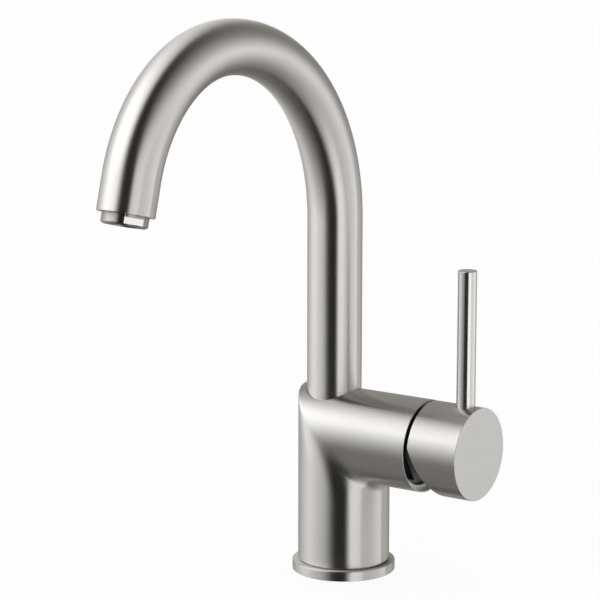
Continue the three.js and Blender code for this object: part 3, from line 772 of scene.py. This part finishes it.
@dataclass
class Spout:
    """The bent tube, with the aerator screwed into its outlet."""

    axis_x: float = Body.spout_x
    radius: float = 14 * MM
    wall: float = 1.2 * MM
    bottom: float = 88 * MM
    bend_start: float = 182.5 * MM
    rear_bend: float = 94 * MM
    front_bend: float = 74 * MM
    rear_steps: int = 72
    front_steps: int = 60
    sweep: float = math.radians(164.5)
    outlet_straight: float = 16 * MM
    flattening: float = 0.04
    flattening_ramp: float = math.radians(50)
    taper: float = 0.979
    rim: float = 0.25 * MM
    ring_radius: float = 11.03 * MM
    ring_drop: float = 5.3 * MM
    ring_top: float = 6.6 * MM
    ring_wall: float = 1.6 * MM
    ring_lip: float = 0.4 * MM
    ring_lip_height: float = 0.5 * MM
    ring_chamfer_width: float = 1.0 * MM
    ring_chamfer_height: float = 0.8 * MM
    ring_edge: float = 0.12 * MM
    flat_depth: float = 1.1 * MM
    flat_height: float = 3.1 * MM
    flat_turn: float = math.radians(-28)
    screen_gap: float = 0.3 * MM
    screen_rim: float = 0.8 * MM
    screen_thickness: float = 0.6 * MM
    wire: float = 0.2 * MM
    wire_pitch: float = 1.0 * MM
    wire_sides: int = 8
    weave: float = 0.18 * MM

    def build(self) -> None:
        """Builds and dresses everything that turns with the spout."""
        # The tube's nickel is painted lighter, as a painted highlight.
        tube, bright = TUBE_NICKEL_PAINTED_LIGHTER.material(), BRIGHT_NICKEL.material()
        show("satin_spout", self.tube(), tube, "spout", ["spout_tube"])
        # The ring's nickel is painted darker, as painted shade.
        slot, shaded_nickel = "polished_steel", SHADED_RING_NICKEL.material()
        ring = show("outlet_ring", self.outlet_ring(), shaded_nickel, "spout", ["aerator_housing"])
        # The flats get the bright nickel, painted lighter as a painted highlight.
        ring.data.materials.append(bright)
        show("outlet_screen", self.screen(), bright, "spout", ["aerator_screen"])
        Finish.BRASS.dress("spout_nipple", "outlet_ferrule")
        Finish.ACETAL.dress("lower_spout_bushing", "upper_spout_bushing")
        Finish.RUBBER.dress("lower_spout_o_ring", "upper_spout_o_ring", "aerator_washer")
        Finish.NYLON.dress("aerator_insert")

    @property
    def front_centre(self) -> float:
        """Height of the front bend's centre."""
        return self.bend_start + self.rear_bend - self.front_bend

    def turned_angle(self, reach: float, height: float) -> float:
        """The angle that the tube has turned through at a place in the plane of its reach.

        Args:
            reach: distance in front of the vertical tube's axis.
            height: height above the deck.

        Returns:
            The angle, which is 0 on the vertical tube.
        """
        if reach < self.rear_bend:
            return math.atan2(max(height - self.bend_start, 0), self.rear_bend - reach)
        angle = math.pi - math.atan2(height - self.front_centre, reach - self.rear_bend)
        return min(angle, self.sweep)

    def centre_and_radius(self, angle: float) -> tuple[Vector, float]:
        """Finds the bend that has a turned angle.

        Args:
            angle: the angle that the tube has turned through.

        Returns:
            The bend's centre (reach, height) and its radius.
        """
        if angle > math.pi / 2:
            return Vector((self.rear_bend, self.front_centre)), self.front_bend
        return Vector((self.rear_bend, self.bend_start)), self.rear_bend

    def outwards(self, reach: float, height: float) -> tuple[float, Vector, float]:
        """Where a point of the tube's surface lies in its section.

        Args:
            reach: distance in front of the vertical tube's axis.
            height: height above the deck.

        Returns:
            The turned angle, the outward direction (reach, height) and the offset along it.
        """
        angle = self.turned_angle(reach, height)
        outward = Vector((-math.cos(angle), math.sin(angle)))
        centre, radius = self.centre_and_radius(angle)
        offset = (Vector((reach, height)) - centre).dot(outward) - radius
        return angle, outward, offset

    def along(self, reach: float, height: float, angle: float) -> float:
        """Measures along the tube's centreline, from its lower end.

        Args:
            reach: distance in front of the vertical tube's axis.
            height: height above the deck.
            angle: the angle that the tube has turned through there.

        Returns:
            The distance.
        """
        rise = self.bend_start - self.bottom
        rear = self.rear_bend * min(angle, math.pi / 2)
        front = self.front_bend * max(angle - math.pi / 2, 0)
        if angle <= 0:
            return height - self.bottom
        if angle >= self.sweep:
            past = Vector((math.sin(angle), math.cos(angle)))
            centre, radius = self.centre_and_radius(angle)
            return rise + rear + front + (Vector((reach, height)) - centre).dot(past)
        return rise + rear + front

    def locate(self, point: Vector) -> tuple[float, float]:
        """Place of a point round and along the tube.

        Args:
            point: the point in the row frame.

        Returns:
            The distances round and along the tube.
        """
        angle, _, offset = self.outwards(-point.y, point.z)
        around = math.atan2(point.x - self.axis_x, offset) * self.radius
        return around, self.along(-point.y, point.z, angle)

    def tube(self) -> BMesh:
        """The bent tube: a ring raised, spun round two bends and drawn to the outlet.

        Returns:
            The tube in the row frame.
        """
        bm = bmesh.new()
        start = Matrix.Translation((self.axis_x, 0, self.bottom))
        bmesh.ops.create_circle(bm, segments=ROUND // 2, radius=self.radius, matrix=start)
        rise = self.bend_start - self.bottom
        ring = self.pushed(bm, bm.edges[:], Vector((0, 0, rise)))
        for angle, height, steps in (
            (math.pi / 2, self.bend_start, self.rear_steps),
            (self.sweep - math.pi / 2, self.front_centre, self.front_steps),
        ):
            made = bmesh.ops.spin(
                bm,
                geom=ring[0] + ring[1],
                cent=(self.axis_x, -self.rear_bend, height),
                axis=(1, 0, 0),
                angle=angle,
                steps=steps,
            )["geom_last"]
            ring = self.sorted_ring(made)
        direction = Vector((0, -math.sin(self.sweep), math.cos(self.sweep)))
        self.pushed(bm, ring[1], direction * self.outlet_straight)
        self.shape_bend(bm)
        bmesh.ops.recalc_face_normals(bm, faces=bm.faces)
        bmesh.ops.solidify(bm, geom=bm.faces[:], thickness=self.wall)
        bmesh.ops.recalc_face_normals(bm, faces=bm.faces)
        soften(bm, self.rim, segments=2)
        lay_grain(bm, lambda face: self.locate, math.tau * self.radius)
        return bm

    @staticmethod
    def sorted_ring(
        geometry: Iterable[BMVert | BMEdge | BMFace],
    ) -> tuple[list[BMVert], list[BMEdge]]:
        """Splits an operator's result.

        Args:
            geometry: what the operator made last.

        Returns:
            The corners and edges of the last ring.
        """
        corners = [g for g in geometry if isinstance(g, BMVert)]
        known = set(corners)
        edges = {e for v in corners for e in v.link_edges if e.other_vert(v) in known}
        return corners, list(edges)

    def pushed(
        self, bm: BMesh, edges: list[BMEdge], step: Vector
    ) -> tuple[list[BMVert], list[BMEdge]]:
        """Extrudes a ring by a step.

        Args:
            bm: mesh that holds the ring.
            edges: the ring's edges.
            step: how far the new ring goes.

        Returns:
            The new ring's corners and edges.
        """
        made = bmesh.ops.extrude_edge_only(bm, edges=edges)["geom"]
        ring = self.sorted_ring(made)
        bmesh.ops.translate(bm, verts=ring[0], vec=step)
        return ring

    def shape_bend(self, bm: BMesh) -> None:
        """Flattens the section in the bend and draws it down towards the outlet.

        Args:
            bm: the round tube.
        """
        for vert in bm.verts:
            angle, outward, offset = self.outwards(-vert.co.y, vert.co.z)
            flat = self.flattening * smooth(angle / self.flattening_ramp)
            flat *= smooth((self.sweep - angle) / self.flattening_ramp)
            share = (angle - math.pi / 2) / (self.sweep - math.pi / 2)
            drawn = 1 - (1 - self.taper) * smooth(share)
            squeeze = offset * (drawn * (1 - flat) - 1)
            vert.co.y -= outward.x * squeeze
            vert.co.z += outward.y * squeeze
            side = vert.co.x - self.axis_x
            vert.co.x = self.axis_x + side * drawn * (1 + flat / 2)

    def outlet_place(self) -> Matrix:
        """The frame on the end of the tube.

        Returns:
            Its place in the row frame, with Z upstream.
        """
        past = Vector((math.sin(self.sweep), math.cos(self.sweep))) * self.outlet_straight
        out = Vector((-math.cos(self.sweep), math.sin(self.sweep))) * self.front_bend
        end = Vector((self.rear_bend, self.front_centre)) + out + past
        move = Matrix.Translation((self.axis_x, -end.x, end.y))
        return move @ Matrix.Rotation(self.sweep - math.pi, 4, "X")

    def outlet_ring(self) -> BMesh:
        """The aerator's ring with its two wrench flats.

        Returns:
            The ring in the row frame.
        """
        bore = self.ring_radius - self.ring_wall
        lip = bore - self.ring_lip
        bottom = -self.ring_drop
        bm = turned([
            (lip, bottom), (self.ring_radius - self.ring_chamfer_width, bottom),
            (self.ring_radius, bottom + self.ring_chamfer_height), (self.ring_radius, self.ring_top),
            (bore, self.ring_top), (bore, bottom + self.ring_lip_height),
            (lip, bottom + self.ring_lip_height),
        ])
        soften(bm, self.ring_edge, segments=2)
        size = (self.ring_radius, 2 * self.ring_radius, self.flat_height)
        distance = self.ring_radius - self.flat_depth + self.ring_radius / 2
        height = bottom + self.ring_chamfer_height + self.flat_height / 2
        turn = Matrix.Rotation(self.flat_turn, 4, "Z")
        flats = [block(size, (side * distance, 0, height)) for side in (-1, 1)]
        bm = carve(bm, [placed(flat, turn) for flat in flats])
        self.mark_flats(bm)
        lay_turned_grain(bm, self.ring_radius)
        return placed(bm, self.outlet_place())

    def mark_flats(self, bm: BMesh) -> None:
        """Gives the ring's wrench flats its second material, whose lighter colour is a painted
        highlight.

        Args:
            bm: the ring, in its own frame.
        """
        facing = Vector((math.cos(self.flat_turn), math.sin(self.flat_turn), 0))
        distance = self.ring_radius - self.flat_depth
        for face in bm.faces:
            away = abs(face.calc_center_median().dot(facing))
            looks_out = abs(face.normal.dot(facing)) > FACING
            face.material_index = int(looks_out and abs(away - distance) < self.flat_depth / 4)

    def screen(self) -> BMesh:
        """The woven wire screen in its rim, seen from below the outlet.

        Returns:
            The screen in the row frame.
        """
        radius = self.ring_radius - self.ring_wall - self.screen_gap
        bottom = self.ring_lip_height + self.screen_gap - self.ring_drop
        top = bottom + self.screen_thickness
        bm = stack(bottom, (radius, top), bore=radius - self.screen_rim)
        reach = radius - self.screen_rim / 2
        count = int(reach / self.wire_pitch)
        middle = (bottom + top) / 2
        for layer, turn in ((-1, 0), (1, math.pi / 2)):
            for k in range(-count, count + 1):
                offset = k * self.wire_pitch
                half = math.sqrt(reach**2 - offset**2)
                lie = Matrix.Translation((0, offset, middle + layer * self.weave))
                lie = Matrix.Rotation(turn, 4, "Z") @ lie @ Matrix.Rotation(math.pi / 2, 4, "Y")
                add_bar(bm, self.wire_sides, self.wire, 2 * half, lie)
        lay_turned_grain(bm, radius)
        return placed(bm, self.outlet_place())


def smooth(share: float) -> float:
    """Smooth step from 0 to 1."""
    t = min(max(share, 0.0), 1.0)
    return t * t * (3 - 2 * t)


# ---- Cartridge -------------------------------------------------------------------------


class Cartridge:
    """The mixing cartridge and its nut, whose pieces keep their CAD meshes."""

    def build(self) -> None:
        """Dresses the cartridge's pieces, from the body's seat out to the nut."""
        Finish.NYLON.dress("cartridge_base", "cartridge_housing")
        Finish.RUBBER.dress("port_seal_hot", "port_seal_cold", "port_seal_outlet", "disc_seal")
        Finish.CERAMIC.dress("fixed_ceramic_disc", "moving_ceramic_disc")
        Finish.ACETAL.dress("disc_carrier", "cartridge_rotor")
        Finish.STEEL.dress("stem_pivot_pin", "cartridge_stem")
        # The nut is painted dark, as painted shade seen through the gap under the handle.
        Finish.SHADED_TURNED_STEEL.dress("cartridge_nut")


# ---- Handle ----------------------------------------------------------------------------


@dataclass
class SocketScrew:
    """A headless screw with a hexagon socket: its point at 0 and its socket at the far end of Z."""

    radius: float = 2.5 * MM
    point: float = 1.7 * MM
    point_length: float = 1.8 * MM
    key_sides: int = 6
    key: float = 1.4 * MM
    key_depth: float = 2.2 * MM
    edge: float = 0.3 * MM

    def mesh(self, length: float) -> BMesh:
        """Builds the screw along Z.

        Args:
            length: from its point to its flat end.

        Returns:
            The screw, in its own frame.
        """
        bm = turned([
            (0, 0), (self.point, 0), (self.point, self.point_length),
            (self.radius, self.point_length + self.edge), (self.radius, length - self.edge),
            (self.radius - self.edge, length), (0, length),
        ], SMALL_ROUND)
        socket = bmesh.new()
        end = Matrix.Translation((0, 0, length))
        add_bar(socket, self.key_sides, self.key, 2 * self.key_depth, end)
        bm = carve(bm, [socket])
        lay_turned_grain(bm, self.radius)
        return bm

    def show_at(self, name: str, node: str, body: str, direction: Vector, steel: Material) -> None:
        """Shows the screw in the place of its CAD node.

        Args:
            name: the piece's name.
            node: the CAD node that it stands for.
            body: the CAD body that it rides on.
            direction: from the screw's point to its socket.
            steel: its material.
        """
        low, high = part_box(node)
        centre = (low + high) / 2
        half = abs((high - low).dot(direction)) / 2
        turn = direction.to_track_quat("Z", "Y").to_matrix().to_4x4()
        place = Matrix.Translation(centre - direction * half) @ turn
        show(name, placed(self.mesh(2 * half), place), steel, body, [node])


@dataclass
class Handle:
    """The drum, whose lower rim leans away from the barrel, and the upright pin."""

    axis_height: float = Body.barrel_height
    radius: float = 23.4 * MM
    face: float = 80.7 * MM
    wall: float = 3 * MM
    cavity: float = 66 * MM
    rim: float = 52.7 * MM
    rim_break: float = 3.8 * MM
    rim_lean: float = math.radians(25)
    edge: float = 0.35 * MM
    boss: float = 9 * MM
    boss_start: float = 56.5 * MM
    boss_gap: float = 0.2 * MM
    socket_half: float = 4.3 * MM
    socket_end: float = 66.8 * MM
    screw_x: float = 60.5 * MM
    screw_hole: float = Body.screw_hole
    pin_x: float = 72.5 * MM
    pin_radius: float = 4.75 * MM
    pin_bore: float = 4.85 * MM
    pin_top: float = 163.7 * MM
    pin_seat: float = 12.3 * MM
    pin_floor: float = 12 * MM
    stud_radius: float = 2.5 * MM
    stud_bore: float = 2.8 * MM
    stud_length: float = 6 * MM

    def build(self) -> None:
        """Builds and dresses everything that the hand moves."""
        nickel = SATIN_NICKEL.material()
        show("satin_cap", self.cap(), nickel, "lever", ["handle_cap"])
        fine = FINE_NICKEL.material()
        show("satin_pin", self.pin(), fine, "lever", ["lever_pin"])

    def drum(self) -> BMesh:
        """The drum with its cavity and boss; its lower rim is cut to a leaning plane.

        Returns:
            The drum, in the barrel's frame.
        """
        inside = self.radius - self.wall
        bm = stack(
            self.boss_start,
            (self.boss, self.cavity),
            (inside, self.rim),
            (self.radius, self.face),
            facets=ROUND,
        )
        size = 4 * self.radius
        slab = block((size, size, size), (0, 0, -size / 2))
        at_rim = Matrix.Translation((-self.rim_break, 0, self.rim))
        leaning = at_rim @ Matrix.Rotation(-self.rim_lean, 4, "Y")
        round_boss = stack(self.rim - size, (self.boss + self.boss_gap, self.face), facets=ROUND)
        return carve(bm, [carve(placed(slab, leaning), [round_boss])])

    def cap(self) -> BMesh:
        """The drum with its stem socket, pin seat and screw hole.

        Returns:
            The cap in the row frame.
        """
        bm = self.drum()
        soften(bm, self.edge, beyond=self.radius - self.wall)
        lay_turned_grain(bm, self.radius)
        socket_depth = self.socket_end - self.boss_start
        socket = block(
            (2 * self.socket_half, 2 * self.socket_half, socket_depth + CUT_PAST),
            (0, 0, self.boss_start + (socket_depth - CUT_PAST) / 2),
        )
        up = Matrix.Translation((0, 0, self.pin_x)) @ Matrix.Rotation(-math.pi / 2, 4, "Y")
        down = Matrix.Translation((0, 0, self.screw_x)) @ Matrix.Rotation(math.pi / 2, 4, "Y")
        stud_floor = self.pin_floor - self.stud_length - (self.pin_seat - self.pin_floor)
        seat = stack(
            stud_floor, (self.stud_bore, self.pin_floor), (self.pin_bore, self.radius + CUT_PAST)
        )
        hole = stack(0, (self.screw_hole, self.boss + CUT_PAST))
        bm = carve(bm, [socket, placed(seat, up), placed(hole, down)])
        return placed(bm, barrel_frame(self.axis_height))

    def pin(self) -> BMesh:
        """The upright pin with its threaded stud.

        Returns:
            The pin in the row frame.
        """
        top = self.pin_top - self.axis_height
        stud_end = self.pin_seat - self.stud_length
        bm = stack(stud_end, (self.stud_radius, self.pin_seat), (self.pin_radius, top))
        soften(bm, self.edge)
        lay_turned_grain(bm, self.pin_radius)
        return placed(bm, Matrix.Translation((self.pin_x, 0, self.axis_height)))


# ---- Studio ----------------------------------------------------------------------------


@dataclass(frozen=True)
class SoftBox:
    """A soft-edged bright panel, as seen from the object, in degrees.

    Azimuth 0 lies in front of the spout, towards -Y, and grows towards the handle at +X.
    """

    azimuth: float
    elevation: float
    half_width: float
    half_height: float
    side_blur: float
    top_blur: float
    strength: float

    def added(self, tree: NodeTree, azimuth: Node, elevation: Node, total: Node | float) -> Node:
        """Adds the panel's light to what is there already.

        Args:
            tree: the world's nodes.
            azimuth: azimuth of the ray.
            elevation: elevation of the ray.
            total: brightness so far.

        Returns:
            The new brightness.
        """
        across = self.fade(tree, azimuth, self.azimuth, self.half_width, self.side_blur)
        up = self.fade(tree, elevation, self.elevation, self.half_height, self.top_blur)
        panel = add_node(tree, "ShaderNodeMath", {0: across, 1: up}, operation="MULTIPLY")
        inputs = {0: panel, 1: self.strength, 2: total}
        return add_node(tree, "ShaderNodeMath", inputs, operation="MULTIPLY_ADD")

    @staticmethod
    def fade(tree: NodeTree, angle: Node, centre: float, half: float, blur: float) -> Node:
        """One on the panel and nothing beyond its blurred edges, along one angle.

        Args:
            tree: the world's nodes.
            angle: the ray's angle.
            centre: the panel's middle, in degrees.
            half: half of its width, in degrees.
            blur: how far its edge fades to each side, in degrees.

        Returns:
            The panel's share.
        """
        middle = math.radians(centre)
        away = add_node(tree, "ShaderNodeMath", {0: angle, 1: middle}, operation="SUBTRACT")
        once_round = {0: away, 1: math.pi, 2: -math.pi}
        nearest = add_node(tree, "ShaderNodeMath", once_round, operation="WRAP")
        inputs = {
            "Value": add_node(tree, "ShaderNodeMath", {0: nearest}, operation="ABSOLUTE"),
            "From Min": math.radians(half - blur),
            "From Max": math.radians(half + blur),
            "To Min": 1.0,
            "To Max": 0.0,
        }
        return add_node(tree, "ShaderNodeMapRange", inputs, interpolation_type="SMOOTHSTEP")


@dataclass
class Studio:
    """Pale floor, soft surroundings and the camera."""

    target: tuple[float, float, float] = (-17.9 * MM, -14.1 * MM, 140.9 * MM)
    azimuth: float = math.radians(34.844)
    elevation: float = math.radians(11.196)
    roll: float = math.radians(0.11)
    distance: float = 1400 * MM
    lens: float = 165.8
    sensor: float = 36.0
    floor_size: float = 12.0
    floor_colour: str = "f7f6f5"
    floor_glow: float = 0.92
    soft_light: float = 0.9
    room: float = 0.026
    room_colour: str = "fff9f1"
    # Azimuth, elevation, half width, half height, side blur, top blur and strength.
    boxes: tuple[SoftBox, ...] = (
        SoftBox(-39.4, 35.4, 34.6, 20.2, 16.5, 43.1, 2.866),  # key light, in front on the left
        SoftBox(-83.7, 24.9, 30.1, 65.4, 51.5, 59.8, 1.202),  # wall on the left
        SoftBox(59.9, -38.0, 18.5, 31.6, 2.4, 9.4, 0.726),  # panel on the handle's side
        SoftBox(95.5, -2.5, 47.7, 27.6, 2.2, 58.6, 1.367),  # wall on the handle's side
        SoftBox(150.6, -12.0, 19.8, 10.8, 30.1, 36.4, 0.917),  # wall behind the handle
        SoftBox(191.3, -5.8, 42.7, 63.4, 8.5, 20.5, 0.321),  # pale wall behind the object
    )

    def build(self) -> None:
        """Builds the stage."""
        self.floor()
        self.world()
        self.camera()

    def camera(self) -> None:
        """Puts the camera at the photograph's viewing angle."""
        data = bpy.data.cameras.new("camera")
        data.lens, data.sensor_width = self.lens, self.sensor
        camera = bpy.data.objects.new("camera", data)
        bpy.context.scene.collection.objects.link(camera)
        flat, up = math.cos(self.elevation), math.sin(self.elevation)
        back = Vector((math.sin(self.azimuth) * flat, -math.cos(self.azimuth) * flat, up))
        turn = back.to_track_quat("Z", "Y").to_matrix().to_4x4()
        place = Matrix.Translation(Vector(self.target) + back * self.distance)
        camera.matrix_world = place @ turn @ Matrix.Rotation(self.roll, 4, "Z")
        bpy.context.scene.camera = camera

    def floor(self) -> None:
        """Lays the pale floor on the deck's height."""
        bm = bmesh.new()
        bmesh.ops.create_grid(bm, x_segments=1, y_segments=1, size=self.floor_size / 2)
        floor = as_object("floor", bm)
        material, tree = empty_material("pale_floor")
        matt = add_node(tree, "ShaderNodeBsdfDiffuse", {"Color": linear(self.floor_colour)})
        glow = add_node(tree, "ShaderNodeEmission", {"Color": (1, 1, 1, 1), "Strength": 1.0})
        seen = add_node(tree, "ShaderNodeLightPath").outputs["Is Camera Ray"]
        share = add_node(tree, "ShaderNodeMath", {0: seen, 1: self.floor_glow}, operation="MULTIPLY")
        mixed = add_node(tree, "ShaderNodeMixShader", {0: share, 1: matt, 2: glow})
        add_node(tree, "ShaderNodeOutputMaterial", {"Surface": mixed})
        floor.data.materials.append(material)
        floor.visible_glossy = False

    def world(self) -> None:
        """Surrounds the object with the studio.

        The camera sees plain white, matt surfaces get plain soft light, and metal shows soft
        boxes in a dark room.
        """
        world = bpy.data.worlds.new("soft_studio")
        bpy.context.scene.world = world
        world.use_nodes = True
        tree = world.node_tree
        tree.nodes.clear()
        path = add_node(tree, "ShaderNodeLightPath")
        inputs = {0: path.outputs["Is Diffuse Ray"], 1: self.soft_light - 1, 2: 1.0}
        plain = add_node(tree, "ShaderNodeMath", inputs, operation="MULTIPLY_ADD")
        inputs = {"Factor": path.outputs["Is Glossy Ray"], "A": plain, "B": self.panorama(tree)}
        strength = add_node(tree, "ShaderNodeMix", inputs)
        inputs = {"Factor": strength, "A": linear(self.room_colour), "B": (1, 1, 1, 1)}
        tint = add_node(tree, "ShaderNodeMix", inputs, data_type="RGBA")
        sky = add_node(tree, "ShaderNodeBackground", {"Color": tint, "Strength": strength})
        add_node(tree, "ShaderNodeOutputWorld", {"Surface": sky})

    def panorama(self, tree: NodeTree) -> Node:
        """Adds up what metal sees of the studio.

        Args:
            tree: the world's nodes.

        Returns:
            The brightness in the direction of the ray.
        """
        ray = add_node(tree, "ShaderNodeTexCoord").outputs["Generated"]
        split = add_node(tree, "ShaderNodeSeparateXYZ", {"Vector": ray})
        x, y, z = (split.outputs[axis] for axis in "XYZ")
        front = add_node(tree, "ShaderNodeMath", {0: y, 1: -1.0}, operation="MULTIPLY")
        azimuth = add_node(tree, "ShaderNodeMath", {0: x, 1: front}, operation="ARCTAN2")
        elevation = add_node(tree, "ShaderNodeMath", {0: z}, operation="ARCSINE")
        total: Node | float = self.room
        for box in self.boxes:
            total = box.added(tree, azimuth, elevation, total)
        return total


def main() -> None:
    """Builds the faucet piece by piece, then its stage."""
    logging.basicConfig(level=logging.INFO, format="%(name)s: %(message)s")
    bpy.context.scene.view_settings.view_transform = "Standard"
    Body().build()
    Spout().build()
    Cartridge().build()
    Handle().build()
    screw, steel = SocketScrew(), Finish.STEEL.value.material()
    screw.show_at("retaining_screw", "spout_retaining_screw", "body", Vector((0, 1, 0)), steel)
    screw.show_at("set_screw", "handle_set_screw", "lever", Vector((0, 0, -1)), steel)
    Studio().build()


if __name__ == "__main__":
    main()
